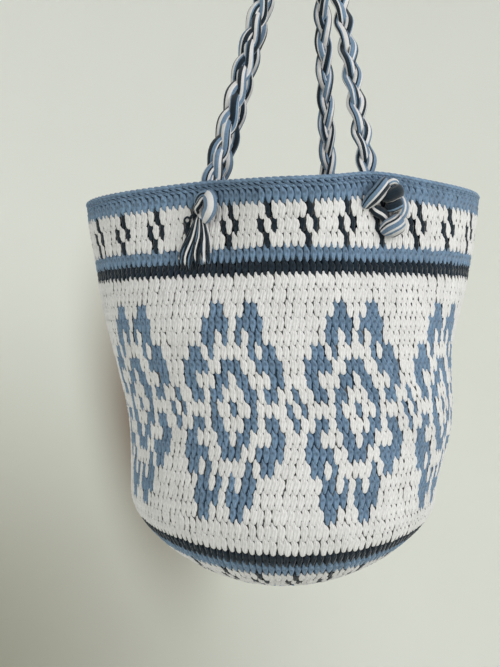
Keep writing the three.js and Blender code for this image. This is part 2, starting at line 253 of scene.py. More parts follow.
class Fabric:
    """The bag's surface: a point from its column of stitches, its distance down from the rim, its height"""

    def __init__(self):
        bag = bag_sizes()
        self.bag = bag
        self.radius = bag.stitch_width * bag.stitches_around / (2 * math.pi)
        self.wall_height = bag.rim_edge + bag.row_height * bag.wall_rows
        self.base_start = bag.rim_height - self.wall_height
        t = np.linspace(0, 1, BASE_POINTS)[:, None]
        corners = np.array([
            (self.radius, self.base_start),
            (self.radius, self.base_start - bag.base_shoulder),
            (bag.base_belly, self.base_start - bag.base_drop + bag.base_sag),
            (0, self.base_start - bag.base_drop),
        ])
        self.base = (
            (1 - t) ** 3 * corners[0]
            + 3 * (1 - t) ** 2 * t * corners[1]
            + 3 * (1 - t) * t**2 * corners[2]
            + t**3 * corners[3]
        )
        self.base_length = distances(self.base)
        self.length = self.wall_height + self.base_length[-1]
        self.base_row = self.base_length[-1] / bag.base_rows
        self.chart()

    def profile(self, down):
        """Radius, height and outward direction of the plain bag's fabric"""
        down = np.asarray(down, float)
        base = np.clip(down - self.wall_height, 0, self.base_length[-1])
        radius = np.interp(base, self.base_length, self.base[:, 0])
        height = np.interp(base, self.base_length, self.base[:, 1])
        slope = np.gradient(self.base, self.base_length, axis=0)
        slope_r = np.interp(base, self.base_length, slope[:, 0])
        slope_z = np.interp(base, self.base_length, slope[:, 1])
        size = np.hypot(slope_r, slope_z)
        on_wall = down < self.wall_height
        height = np.where(on_wall, self.bag.rim_height - down, height)
        return radius, height, -slope_z / size, slope_r / size

    def hang(self, radius, angle, z):
        """From the plain tube-shaped bag to the bag as it hangs"""
        bag = self.bag
        up = np.clip((z - self.base_start) / self.wall_height, 0, 1)
        half_width = self.radius + along(bag.side_stretch, up)
        half_depth = self.radius - along(bag.front_flattening, up)
        pulled = ease(1 - (bag.rim_height - z) / bag.pull_depth)
        lifted = ease(1 - (bag.rim_height - z) / bag.lift_depth)
        outline = half_width * half_depth
        outline = outline / np.hypot(half_depth * np.cos(angle), half_width * np.sin(angle))
        pinch = 0
        lift = 0
        for place, pull, rise in zip(bag.strap_angles, bag.strap_pulls, bag.strap_lifts):
            pinch = pinch + pull * pulled * nearness(angle, place, bag.pull_width)
            lift = lift + rise * lifted * nearness(angle, place, bag.lift_width)
        outline = outline * (1 - pinch)
        reach = radius + (outline - self.radius) * np.minimum(radius / self.radius, 1)
        x = reach * np.cos(angle)
        low = np.clip((self.base_start - z) / bag.base_drop, 0, 1)
        tilt = bag.base_tilt + (bag.rim_tilt - bag.base_tilt) * up + (bag.bottom_tilt - bag.base_tilt) * low
        share = radius * np.cos(angle) / self.radius
        keel = bag.base_keel * np.maximum(self.base_start - z, 0) * share**2
        across = bag.shift + along(bag.side_sway, up) + x
        return np.stack((across, reach * np.sin(angle), z + lift + keel + tilt * x / half_width), axis=-1)

    def chart(self):
        """Tables from a column of stitches to its angle, with the stitches evenly wide round the bag"""
        bag = self.bag
        around = bag.stitches_around
        self.chart_down = np.arange(-CHART_DROP, self.length + CHART_DROP, CHART_DROP)
        end = around + SPARE_COLUMNS + CHART_COLUMN / 2
        self.chart_columns = np.arange(-SPARE_COLUMNS, end, CHART_COLUMN)
        angles = math.radians(-90) + np.linspace(-math.tau, 2 * math.tau, 3 * TURN_STEPS + 1)
        self.chart_angles = np.empty((len(self.chart_down), len(self.chart_columns)))
        for i, down in enumerate(self.chart_down):
            radius, height, _, _ = self.profile(min(max(down, 0), self.length - CHART_DROP))
            length = distances(self.hang(radius, angles, height))
            front = length[TURN_STEPS]
            width = (length[2 * TURN_STEPS] - front) / around
            row = (down - bag.rim_edge) / bag.row_height
            middle = bag.front_column - bag.seam_drift * (row - FRONT_ROUND)
            self.chart_angles[i] = np.interp(self.chart_columns + middle, (length - front) / width, angles)

    def angle(self, column, down):
        """The angle round the bag, read from the chart"""
        i = np.clip((down - self.chart_down[0]) / CHART_DROP, 0, len(self.chart_down) - LAST_STEP)
        j = np.clip((column - self.chart_columns[0]) / CHART_COLUMN, 0, len(self.chart_columns) - LAST_STEP)
        i0 = i.astype(int)
        j0 = j.astype(int)
        i -= i0
        j -= j0
        table = self.chart_angles
        upper = table[i0, j0] * (1 - j) + table[i0, j0 + 1] * j
        lower = table[i0 + 1, j0] * (1 - j) + table[i0 + 1, j0 + 1] * j
        return upper * (1 - i) + lower * i

    def point(self, column, down, height):
        """A point of the fabric. Above the rim, down is less than 0."""
        radius, z, out_r, out_z = self.profile(down)
        out = np.maximum(radius + out_r * height, 0)
        return self.hang(out, self.angle(column, down), z + out_z * height)

    def rows(self):
        """Each round from the rim down: its top, its height and its number of stitches"""
        bag = self.bag
        full = bag.stitches_around
        low = bag.rim_edge / LOW_ROUNDS
        for i in range(LOW_ROUNDS):
            yield i - LOW_ROUNDS, low * i, low, full
        for i in range(bag.wall_rows):
            yield i, bag.rim_edge + bag.row_height * i, bag.row_height, full
        for i in range(bag.base_rows):
            top = self.wall_height + self.base_row * i
            radius = float(self.profile(top + self.base_row * COUNTED_AT)[0])
            count = full
            if i >= FULL_ROUNDS:
                wedge = round(math.tau * radius / bag.stitch_width / WEDGES)
                count = min(full, WEDGES * max(1, wedge))
            yield bag.wall_rows + i, top, self.base_row, count


# Light blue stitches of half a medallion, as runs counted from its centre column, from its tip to its middle
MEDALLION_RUNS = (
    ((2, 3),),
    ((1, 4),),
    ((1, 1), (3, 4)),
    ((3, 3), (5, 6)),
    ((0, 1), (4, 7)),
    ((1, 2), (6, 7)),
    ((2, 3), (5, 6), (9, 9)),
    ((0, 0), (3, 3), (8, 8)),
)
MEDALLION_WIDTH = 18
SMALL_DIAMOND_WIDTH = 6
# The rounds of one colour, and the rounds that hold small diamonds and medallions
PLAIN_ROWS = {-2: BLUE, -1: BLUE, 0: BLUE, 4: BLUE, 5: NAVY, 25: NAVY, 26: BLUE, 30: BLUE}
UPPER_DIAMONDS = range(1, 4)
LOWER_DIAMONDS = range(27, 30)
MEDALLIONS = range(8, 23)
# Stitches from a medallion's centre to that of the small diamond over it
DIAMOND_SHIFT = 2


def from_centre(column, width):
    """Stitches from the centre of the nearest of many motifs"""
    return (column + width // 2) % width - width // 2


def middle_of(rounds):
    return rounds[len(rounds) // 2]


def small_diamond(row, column):
    """One stitch, two stitches beside a gap, one stitch"""
    return abs(from_centre(column, SMALL_DIAMOND_WIDTH)) + abs(row) == 1


def medallion(row, column):
    """Whether a stitch of a medallion is light blue. Rows and columns are counted from its centre."""
    apart = abs(from_centre(column, MEDALLION_WIDTH))
    runs = MEDALLION_RUNS[len(MEDALLION_RUNS) - 1 - abs(row)]
    return any(first <= apart <= last for first, last in runs)


def yarn_at(row, column):
    """The yarn of a stitch. Column 0 is the centre of a medallion."""
    if row in PLAIN_ROWS:
        return PLAIN_ROWS[row]
    if row in UPPER_DIAMONDS and small_diamond(row - middle_of(UPPER_DIAMONDS), column + DIAMOND_SHIFT):
        return NAVY
    if row in LOWER_DIAMONDS and small_diamond(row - middle_of(LOWER_DIAMONDS), column):
        return NAVY
    if row in MEDALLIONS and medallion(row - middle_of(MEDALLIONS), column):
        return BLUE
    return WHITE


class Nodes:
    """A new material with its shader, and short ways to add nodes to it"""

    def __init__(self, name, roughness, sheen=0.0, specular=0.25):
        self.material = bpy.data.materials.new(name)
        self.material.use_nodes = True
        self.tree = self.material.node_tree
        self.shader = self.tree.nodes["Principled BSDF"]
        self.set("Roughness", roughness)
        self.set("Sheen Weight", sheen)
        self.set("Sheen Roughness", 0.5)
        self.set("Specular IOR Level", specular)

    def set(self, socket, value):
        """Sets or links a socket of the shader"""
        self.fill(self.shader, {socket: value})

    def fill(self, node, values):
        for key, value in values.items():
            if isinstance(value, bpy.types.NodeSocket):
                self.tree.links.new(value, node.inputs[key])
            else:
                node.inputs[key].default_value = value

    def add(self, kind, values=(), **settings):
        node = self.tree.nodes.new(kind)
        for key, value in settings.items():
            setattr(node, key, value)
        self.fill(node, dict(values))
        return node

    def maths(self, operation, *values):
        return self.add("ShaderNodeMath", dict(enumerate(values)), operation=operation).outputs[0]

    def vector(self, operation, *values, out="Vector"):
        node = self.add("ShaderNodeVectorMath", dict(enumerate(values)), operation=operation)
        return node.outputs[out]

    def scaled(self, colour, level):
        values = {0: tuple(colour), "Scale": level}
        return self.add("ShaderNodeVectorMath", values, operation="SCALE").outputs["Vector"]

    def spread(self, value, limits, results):
        """Maps the values between two limits to those between two results"""
        values = {"Value": value, "From Min": limits[0], "From Max": limits[1]}
        values.update({"To Min": results[0], "To Max": results[1]})
        return self.add("ShaderNodeMapRange", values).outputs["Result"]

    def noise(self, place, scale, detail):
        values = {"Vector": place, "Scale": scale, "Detail": detail}
        return self.add("ShaderNodeTexNoise", values).outputs["Fac"]


# Cotton: its roughness and sheen, and how many fibres, flecks and clouds go in a metre
COTTON_ROUGHNESS = 0.92
COTTON_SHEEN = 0.25
FIBRES = 900.0
FLECKS = 620.0
CLOUDS = 45.0
# How far the plies and fibres stand out, and the fibres' share of that
PLY_DEPTH = 0.0006
FIBRE_SHARE = 0.35
# Light left by the painted shade between plies, and light left in clouds and in flecks, where the flecks go
# by how much a yarn varies
PLY_LIGHT = (0.88, 1.0)
CLOUD_LIGHT = (0.94, 1.05)
FLECK_DEPTH = 1.6
# The eye of a stitch, where its two legs part, darkened as painted shade: its place, the shape of the map
# over it, its two edges
EYE_PLACE = (0.5, 0.80, 0.0)
EYE_SHAPE = (1.0, 1.7, 0.0)
EYE_EDGES = (0.05, 0.22)
# Each yarn's name, how much it varies, and how light the painted shade leaves the eyes of its stitches
YARN_LOOKS = (("white", 0.03, 0.88), ("blue", 0.11, 0.5), ("navy", 0.15, 0.6))
# The yarn deep between the stitches, darkened as painted shade: its share of the light, its relief and its
# gloss
DEPTH_LIGHT = 0.28
DEPTH_RELIEF = 0.2
DEPTH_GLOSS = 0.05


def cotton(name, colour, strands=3.0, twist=1.5, bump=0.5, variety=0.1, eye_shade=1.0, **surface):
    """Soft plied cotton. Strands run slanted over the piece's own UV map, u across and v along the yarn."""
    surface = {"sheen": COTTON_SHEEN, **surface}
    made = Nodes(name, COTTON_ROUGHNESS, **surface)
    uv = made.add("ShaderNodeUVMap", uv_map="UVMap").outputs["UV"]
    place = made.add("ShaderNodeTexCoord").outputs["Object"]
    split = made.add("ShaderNodeSeparateXYZ", {"Vector": uv})
    across = made.maths("MULTIPLY", split.outputs["X"], strands)
    lean = made.maths("MULTIPLY", split.outputs["Y"], twist)
    turn = made.maths("MULTIPLY", made.maths("ADD", across, lean), math.tau)
    ply = made.maths("SINE", turn)
    # Height of the surface: plies with fine fibres over them
    plies = made.maths("MULTIPLY_ADD", ply, 0.5, 0.5)
    height = made.maths("MULTIPLY_ADD", made.noise(place, FIBRES, 3.0), FIBRE_SHARE, plies)
    relief = made.add("ShaderNodeBump", {"Height": height, "Strength": bump, "Distance": PLY_DEPTH})
    made.set("Normal", relief.outputs["Normal"])
    # Brightness: painted shade between plies and in the eye of a stitch, darker flecks, and small
    # differences between stitches and places
    light = made.spread(ply, (-1.0, -0.2), PLY_LIGHT)
    eyed = made.vector("MULTIPLY", uv, EYE_SHAPE)
    away = made.vector("DISTANCE", eyed, EYE_PLACE, out="Value")
    tone = made.add("ShaderNodeAttribute", attribute_name="tone").outputs["Fac"]
    for share in (
        made.spread(made.noise(place, CLOUDS, 2.0), (0.3, 0.7), CLOUD_LIGHT),
        made.spread(made.noise(place, FLECKS, 2.0), (0.36, 0.6), (1 - FLECK_DEPTH * variety, 1.0)),
        made.spread(away, EYE_EDGES, (eye_shade, 1.0)),
        made.maths("MULTIPLY_ADD", tone, 2 * variety, 1 - variety),
    ):
        light = made.maths("MULTIPLY", light, share)
    made.set("Base Color", made.scaled(colour, light))
    return made.material


def yarn_colour(name):
    return tuple(getattr(bpy.context.scene.yarn_colours, name))


def yarn_materials(kind, **settings):
    """White, light blue and navy cotton for one way of working"""
    made = []
    for name, variety, eye_shade in YARN_LOOKS:
        full = f"{kind}_{name}"
        # How light the painted shade in a stitch's eye leaves it; only stitches have it
        look = {"variety": variety, "eye_shade": eye_shade if kind == "stitch" else 1.0}
        made.append(bpy.data.materials.get(full) or cotton(full, yarn_colour(name), **look, **settings))
    return made


def painted_shade_materials():
    """The same yarns deep between the stitches, darkened as painted shade"""
    return [
        cotton(
            f"depth_{name}", [level * DEPTH_LIGHT for level in yarn_colour(name)], bump=DEPTH_RELIEF,
            sheen=0.0, specular=DEPTH_GLOSS
        )
        for name, _, _ in YARN_LOOKS
    ]


def placed(name, data):
    """Puts an object in the scene"""
    made = bpy.data.objects.new(name, data)
    bpy.context.scene.collection.objects.link(made)
    return made


def finished(name, mesh, nodes, materials):
    """Puts a mesh in the scene as a piece of the bag"""
    piece = placed(name, mesh)
    for material in materials:
        mesh.materials.append(material)
    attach(piece, "root")
    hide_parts(*nodes)
    return piece


def copies(shape, count):
    """One mesh of so many copies of a small mesh, all in the same place"""
    holder = placed("copies", shape)
    array = holder.modifiers.new("copies", "ARRAY")
    array.use_relative_offset = False
    array.use_constant_offset = True
    array.constant_offset_displace = (0, 0, 0)
    array.count = count
    graph = bpy.context.evaluated_depsgraph_get()
    made = bpy.data.meshes.new_from_object(
        holder.evaluated_get(graph), preserve_all_data_layers=True, depsgraph=graph
    )
    bpy.data.objects.remove(holder)
    return made


def corners_of(mesh):
    """Where the corners of a mesh are"""
    found = np.empty(len(mesh.vertices) * 3, np.float32)
    mesh.vertices.foreach_get("co", found)
    return found.reshape(-1, 3).astype(float)


def move_corners(mesh, places):
    """Puts the corners of a mesh in their places"""
    mesh.vertices.foreach_set("co", np.ascontiguousarray(places, np.float32).ravel())
    mesh.update()


def paint(mesh, yarns, tones):
    """Gives each copy in a mesh its yarn and its shade"""
    faces = len(mesh.polygons) // len(yarns)
    mesh.polygons.foreach_set("material_index", np.repeat(np.asarray(yarns, np.int32), faces))
    mesh.polygons.foreach_set("use_smooth", np.ones(len(mesh.polygons), bool))
    points = len(mesh.vertices) // len(tones)
    tone = mesh.attributes.new("tone", "FLOAT", "POINT")
    tone.data.foreach_set("value", np.repeat(np.asarray(tones, np.float32), points))


def mapped_bmesh():
    """An empty bmesh with a UV map"""
    bm = bmesh.new()
    bm.loops.layers.uv.new("UVMap")
    return bm


def mesh_of(bm, name):
    """The mesh that a bmesh holds, which is freed"""
    mesh = bpy.data.meshes.new(name)
    bm.to_mesh(mesh)
    bm.free()
    return mesh


def grid_shape(name, across, along_it):
    """A flat grid from -1 to 1 across and from 0 to 1 along, with a UV map"""
    bm = mapped_bmesh()
    bmesh.ops.create_grid(bm, x_segments=across, y_segments=along_it, size=1, calc_uvs=True)
    bmesh.ops.translate(bm, verts=bm.verts, vec=(0, 1, 0))
    bmesh.ops.scale(bm, verts=bm.verts, vec=(1, 0.5, 1))
    return mesh_of(bm, name)


# Steps taken along a smooth line for each of its even ones
FINER = 8


def centripetal(points, count):
    """Even steps along a smooth line through points"""
    points = np.asarray(points, float)
    padded = np.vstack((2 * points[0] - points[1], points, 2 * points[-1] - points[-2]))
    gaps = np.sqrt(np.linalg.norm(np.diff(padded, axis=0), axis=1))
    place = np.linspace(0, len(points) - 1, count * FINER)
    step = np.minimum(place.astype(int), len(points) - 2)
    t = (place - step)[:, None]
    d0, d1, d2 = (gaps[step + i][:, None] for i in range(3))
    p0, p1, p2, p3 = (padded[step + i] for i in range(4))
    leave = ((p1 - p0) / d0 - (p2 - p0) / (d0 + d1) + (p2 - p1) / d1) * d1
    arrive = ((p2 - p1) / d1 - (p3 - p1) / (d1 + d2) + (p3 - p2) / d2) * d1
    line = cubic(p1, p2, leave, arrive, t)
    length = distances(line)
    even = np.linspace(0, length[-1], count)
    return np.stack([np.interp(even, length, line[:, i]) for i in range(3)], axis=1), length[-1]


def unit(vectors):
    """Vectors of length 1 in the same directions"""
    return vectors / np.linalg.norm(vectors, axis=-1, keepdims=True)


def rounded(length, reach):
    """How full a strand is along its length: 1, and less and less towards its closed round ends"""
    end = np.minimum(length, length[-1] - length)
    return np.sqrt(1 - (1 - np.clip(end / reach, 0, 1)) ** 2)


def stretch_map(shape, across, along_it):
    """Scales a mesh's UV map"""
    uv = shape.uv_layers["UVMap"].uv
    values = np.empty(len(uv) * 2, np.float32)
    uv.foreach_get("vector", values)
    values[0::2] *= across
    values[1::2] *= along_it
    uv.foreach_set("vector", values)


# How deep the grooves between a strand's yarns are, as a share of the strand
FLUTE = 0.09
# Steps of the UV map along a metre of yarn
MAP_STEPS = 100
# Corners closer than this become one
SAME_CORNER = 0.000002


class Strand:
    """A soft flat strand of many yarns: its centreline, the lie of its flat side and the yarns round it"""

    def __init__(self, line, side, half_width, half_depth, letters, turns=0.0, tips=0.004):
        self.line = line
        self.side = side
        self.half_width = np.reshape(half_width, (-1, 1)) * np.ones((len(line), 1))
        self.half_depth = np.reshape(half_depth, (-1, 1)) * np.ones((len(line), 1))
        self.yarns = [YARN_LETTERS[letter] for letter in letters]
        self.turns = turns
        self.tips = tips

    def add_to(self, holder, chance):
        """Adds the strand's skin, ridged along each yarn. Returns the shade of each of its corners."""
        line = self.line
        steps = len(line) - 1
        around = 2 * len(self.yarns)
        shape = grid_shape("strand", around, steps)
        flat = corners_of(shape)
        row = np.rint(flat[:, 1] * steps).astype(int)
        column = np.rint((flat[:, 0] + 1) / 2 * around).astype(int)
        heading = unit(np.gradient(line, axis=0))
        side = unit(self.side - np.sum(self.side * heading, axis=1, keepdims=True) * heading)
        front = np.cross(heading, side)
        length = distances(line)
        thick = rounded(length, self.tips)[:, None]
        turn = math.tau * (column / around + self.turns * np.linspace(0, 1, len(line))[row])[:, None]
        ridge = np.where(column % 2 == 1, 1.0, 1 - FLUTE)[:, None]
        wide = (self.half_width * thick)[row] * ridge * np.cos(turn)
        deep = (self.half_depth * thick)[row] * ridge * np.sin(turn)
        move_corners(shape, line[row] + side[row] * wide + front[row] * deep)
        stretch_map(shape, len(self.yarns), length[-1] * MAP_STEPS)
        slots = [
            self.yarns[min(column[i] for i in face.vertices) // 2 % len(self.yarns)]
            for face in shape.polygons
        ]
        shape.polygons.foreach_set("material_index", np.array(slots, np.int32))
        holder.from_mesh(shape)
        bpy.data.meshes.remove(shape)
        tones = chance.uniform(0, 1, len(self.yarns) + 1)
        return list(tones[(column // 2) % len(self.yarns)])


def strand_mesh(name, strands, chance):
    """One mesh of several strands"""
    holder = bmesh.new()
    tones = []
    for strand in strands:
        tones += strand.add_to(holder, chance)
    return joined(name, holder, tones)


def joined(name, holder, tones):
    """A mesh of all the yarns in the holder, with their shades, smooth and with closed ends"""
    tone = holder.verts.layers.float.new("tone")
    for vert, value in zip(holder.verts, tones):
        vert[tone] = value
    for face in holder.faces:
        face.smooth = True
    bmesh.ops.remove_doubles(holder, verts=holder.verts, dist=SAME_CORNER)
    bmesh.ops.recalc_face_normals(holder, faces=holder.faces)
    return mesh_of(holder, name)


# Sides of a single round yarn, and the share of its radius in which its ends close
YARN_SIDES = 5
YARN_TIPS = 0.6
# A direction that no yarn starts in
ASIDE = (0.3, 0.5, 0.8)


def yarn_mesh(name, lines, radius, yarns, chance):
    """Round yarns along their centrelines, with closed rounded ends"""
    holder = bmesh.new()
    tones = []
    for line, yarn in zip(lines, yarns):
        steps = len(line) - 1
        shape = grid_shape("yarn", YARN_SIDES, steps)
        flat = corners_of(shape)
        row = np.rint(flat[:, 1] * steps).astype(int)
        heading = unit(np.gradient(line, axis=0))
        side = np.empty_like(line)
        # Each step's side is the one before, turned as little as the line turns
        guess = np.cross(heading[0], ASIDE)
        for j, ahead in enumerate(heading):
            guess = unit(guess - np.dot(guess, ahead) * ahead)
            side[j] = guess
        front = np.cross(heading, side)
        length = distances(line)
        thick = radius * rounded(length, YARN_TIPS * radius)[row][:, None]
        turn = -math.pi * flat[:, 0:1]
        move_corners(shape, line[row] + thick * (np.cos(turn) * side[row] + np.sin(turn) * front[row]))
        stretch_map(shape, 1, length[-1] * MAP_STEPS)
        shape.polygons.foreach_set("material_index", np.full(len(shape.polygons), yarn, np.int32))
        holder.from_mesh(shape)
        tones += [chance.uniform(0, 1)] * len(shape.vertices)
        bpy.data.meshes.remove(shape)
    return joined(name, holder, tones)


# A stitch from its bead-like top, tucked up between the feet of the round above, to its rounded foot:
# rounds down, middle and half width in stitches, and height as a share of the ridge
STITCH = (
    (-0.17, -0.29, 0.03, 0.30),
    (-0.11, -0.29, 0.16, 0.76),
    (0.00, -0.27, 0.23, 0.84),
    (0.12, -0.14, 0.40, 0.92),
    (0.24, -0.02, 0.47, 0.96),
    (0.36, 0.0, 0.51, 0.98),
    (0.50, 0.0, 0.57, 1.00),
    (0.64, 0.0, 0.51, 1.00),
    (0.77, 0.0, 0.43, 0.98),
    (0.92, 0.0, 0.40, 0.94),
    (1.05, 0.0, 0.31, 0.84),
    (1.13, 0.0, 0.06, 0.50),
)
# A stitch of the inner face, the columns of its faces, and how far from the base's middle the last ones end
MIDDLE_GAP = 0.0012
INNER_COLUMNS = 3
INNER_STITCH = (
    (-0.20, -0.2, 0.20, 0.40),
    (0.10, -0.1, 0.50, 0.90),
    (0.60, 0.0, 0.56, 1.00),
    (0.95, 0.1, 0.46, 0.95),
    (1.08, 0.1, 0.12, 0.45),
)
# A stitch's section from side to side: where each column of corners goes, and its height
SECTION_SIDE = (-1.0, -0.5, 0.0, 0.5, 1.0)
SECTION_PLACE = (-1.0, -0.62, 0.0, 0.62, 1.0)
SECTION_HEIGHT = (0.10, 0.90, 1.0, 0.90, 0.10)
# How strongly each yarn's stitches stand out, and how much they thin at top and foot.
# The white cotton is fluffier and closes up
RELIEF = (0.24, 1.0, 1.0)
THINNING = (0.0, 0.2, 0.24)
# Where a stitch leans about and where it is thickest, half its length, and how much of its outline is relief
LEAN_PLACE = 0.45
THICK_PLACE = 0.42
THICK_REACH = 0.62
RELIEF_SHARE = 0.45
# How deep a stitch's sides drop
SIDE_DROP = 0.2
# The dimple where its two legs part, and the crease where the round above is worked in:
# depth, place down the stitch, half height, and the dimple's half width or the crease's lean
DIMPLE = (0.65, 0.52, 0.10, 0.4)
CREASE = (0.40, 0.13, 0.07, 0.12)


def stitch_points(shape, outline, slant, yarns):
    """Across in stitch widths, down in rounds and height over the core for each corner of each stitch"""
    flat = corners_of(shape)
    down, middle, width, height = (
        np.interp(flat[:, 1], np.linspace(0, 1, len(outline)), values) for values in zip(*outline)
    )
    side = np.interp(flat[:, 0], SECTION_SIDE, SECTION_PLACE)
    section = np.interp(flat[:, 0], SECTION_SIDE, SECTION_HEIGHT)
    relief = np.array(RELIEF)[yarns][:, None]
    thinning = np.array(THINNING)[yarns][:, None]
    ends = np.clip(np.abs(down - THICK_PLACE) / THICK_REACH, 0, 1) ** 2
    across = middle + slant * (down - LEAN_PLACE) + side * width * (1 - thinning * ends)
    depth, place, reach, wide = DIMPLE
    dimple = depth * np.exp(-(((down - place) / reach) ** 2) - (side / wide) ** 2)
    depth, place, reach, lean = CREASE
    crease = depth * np.exp(-(((down - place - lean * side) / reach) ** 2))
    sunk = 1 - section + dimple + crease
    full = 1 - (1 - height) * (1 - RELIEF_SHARE + RELIEF_SHARE * relief)
    return across, down, full * (1 - sunk * relief) - SIDE_DROP * (1 - section) * relief


# The first round of each piece of the outer face
FACE_PIECES = {"rim_band": -LOW_ROUNDS, "wall_upper": 8, "wall_lower": 16, "base": 25}
# How unevenly the stitches are worked, as shares of a stitch: a stitch's place, width, drop and height,
# the place and height of each of its corners, and the height of an inner stitch
UNEVEN_PLACE = 0.05
UNEVEN_WIDTH = 0.05
UNEVEN_DROP = 0.03
UNEVEN_HEIGHT = 0.07
ROUGH_PLACE = 0.02
ROUGH_HEIGHT = 0.05
UNEVEN_INSIDE = 0.08
# The lean and the height of a stitch in the low rounds at the rim
LOW_SLANT = 0.85
LOW_HEIGHT = 0.9
# Where the core begins below the rim, and the corners of its middle that become one
CORE_TOP = 0.0006
CORE_MIDDLE = 0.0002
# A grain of the edge: its sides and rings, its radius, its half length in stitches, how far down and out it
# leans, its place down the edge and its place out of the edge
GRAIN_SIDES = 7
GRAIN_RINGS = 6
GRAIN_RADIUS = 0.0015
GRAIN_LENGTH = 0.80
GRAIN_SLOPE = 0.0011
GRAIN_LEAN = 0.0007
GRAIN_DOWN = 0.0001
GRAIN_OUT = 0.0016


class BAG_OT_crochet(bpy.types.Operator):
    """Crochets the bag's fabric, stitch by stitch, on both faces of a thin core"""

    bl_idname = "bag.crochet"
    bl_label = "Crochet the fabric"

    def execute(self, context):
        self.fabric = Fabric()
        self.bag = bag_sizes()
        self.chance = np.random.default_rng(SEEDS["crochet"])
        rows = list(self.fabric.rows())
        ends = [*FACE_PIECES.values(), len(rows)][1:]
        for (name, first), end in zip(FACE_PIECES.items(), ends):
            self.stitches(f"crochet_{name}", [row for row in rows if first <= row[0] < end])
        self.lining(rows)
        self.core()
        self.chain_edge()
        return {"FINISHED"}

    def worked(self, number, count):
        """For one round: stitch columns of the wall in one of its stitches, its stitches and their yarns"""
        pitch = self.bag.stitches_around / count
        columns = np.arange(count)
        return pitch, columns[:, None], [yarn_at(number, int(round(c * pitch))) for c in columns]

    def laid(self, name, mesh, parts, yarns, kind="stitch"):
        """Puts the copies of a shape in their places and gives each its yarn"""
        move_corners(mesh, np.concatenate(parts))
        paint(mesh, yarns, self.chance.uniform(0, 1, len(yarns)))
        return finished(name, mesh, ["crocheted_bag"], yarn_materials(kind))

    def stitches(self, name, rows):
        """The stitches of the outer face in some rounds"""
        bag = self.bag
        shape = grid_shape("stitch", len(SECTION_SIDE) - 1, len(STITCH) - 1)
        mesh = copies(shape, sum(row[3] for row in rows))
        parts = []
        yarns = []
        for number, top, height, count in rows:
            low = number < 0
            pitch, columns, row_yarns = self.worked(number, count)
            slant = LOW_SLANT if low else bag.stitch_slant
            across, down, out = stitch_points(shape, STITCH, slant, row_yarns)
            nudge = self.chance.normal(0, 1, (4, count, 1))
            rough = self.chance.normal(0, 1, (2, *across.shape))
            place = columns + UNEVEN_PLACE * nudge[0] + ROUGH_PLACE * rough[0]
            column = (place + across * (1 + UNEVEN_WIDTH * nudge[1])) * pitch
            reach = top + (down + UNEVEN_DROP * nudge[2]) * height
            out = out * (1 + UNEVEN_HEIGHT * nudge[3]) + ROUGH_HEIGHT * rough[1]
            lift = bag.fabric_core / 2 + bag.outer_stitch * (LOW_HEIGHT if low else 1) * out
            parts.append(self.fabric.point(column, reach, lift).reshape(-1, 3))
            yarns += row_yarns
        return self.laid(name, mesh, parts, yarns)

    def lining(self, rows):
        """The plainer inner face"""
        bag = self.bag
        shape = grid_shape("inner_stitch", INNER_COLUMNS, len(INNER_STITCH) - 1)
        mesh = copies(shape, sum(row[3] for row in rows))
        across, down, out = stitch_points(shape, INNER_STITCH, bag.stitch_slant, [BLUE])
        parts = []
        yarns = []
        for number, top, height, count in rows:
            height = min(height, (self.fabric.length - MIDDLE_GAP - top) / INNER_STITCH[-1][0])
            pitch, columns, row_yarns = self.worked(number, count)
            nudge = self.chance.normal(0, 1, (2, count, 1))
            column = (columns + UNEVEN_PLACE * nudge[0] - across) * pitch
            reach = top + np.broadcast_to(down * height, column.shape)
            lift = -bag.fabric_core / 2 - bag.inner_stitch * out * (1 + UNEVEN_INSIDE * nudge[1])
            parts.append(self.fabric.point(column, reach, lift).reshape(-1, 3))
            yarns += row_yarns
        return self.laid("crochet_inside", mesh, parts, yarns)

    def core(self):
        """The depth between the stitches, a thin shell with the same yarns darkened as painted shade"""
        bag = self.bag
        fabric = self.fabric
        around = bag.stitches_around
        steps = 2 * (bag.wall_rows + bag.base_rows + 1)
        bm = mapped_bmesh()
        bmesh.ops.create_grid(bm, x_segments=around, y_segments=steps, size=1, calc_uvs=True)
        flat = np.array([vert.co for vert in bm.verts])
        column = (flat[:, 0] + 1) / 2 * around
        down = CORE_TOP + (flat[:, 1] + 1) / 2 * (fabric.length - CORE_TOP)
        places = fabric.point(column, down, np.zeros(len(down)))
        for vert, place in zip(bm.verts, places):
            vert.co = place
        for face in bm.faces:
            middle = sum((Vector((flat[v.index][0], flat[v.index][1])) for v in face.verts), Vector((0, 0)))
            middle /= len(face.verts)
            reach = CORE_TOP + (middle.y + 1) / 2 * (fabric.length - CORE_TOP)
            if reach < fabric.wall_height:
                row = math.floor((reach - bag.rim_edge) / bag.row_height)
            else:
                row = bag.wall_rows + math.floor((reach - fabric.wall_height) / fabric.base_row)
            face.material_index = yarn_at(max(row, -1), int(round((middle.x + 1) / 2 * around)))
            face.smooth = True
        bmesh.ops.remove_doubles(bm, verts=bm.verts, dist=CORE_MIDDLE)
        bmesh.ops.recalc_face_normals(bm, faces=bm.faces)
        mesh = mesh_of(bm, "crochet_core")
        # The shell's yarns are darkened as painted shade where it shows between the stitches
        piece = finished(mesh.name, mesh, ["crocheted_bag"], painted_shade_materials())
        wall = piece.modifiers.new("thickness", "SOLIDIFY")
        wall.thickness = bag.fabric_core
        wall.offset = 0
        return piece

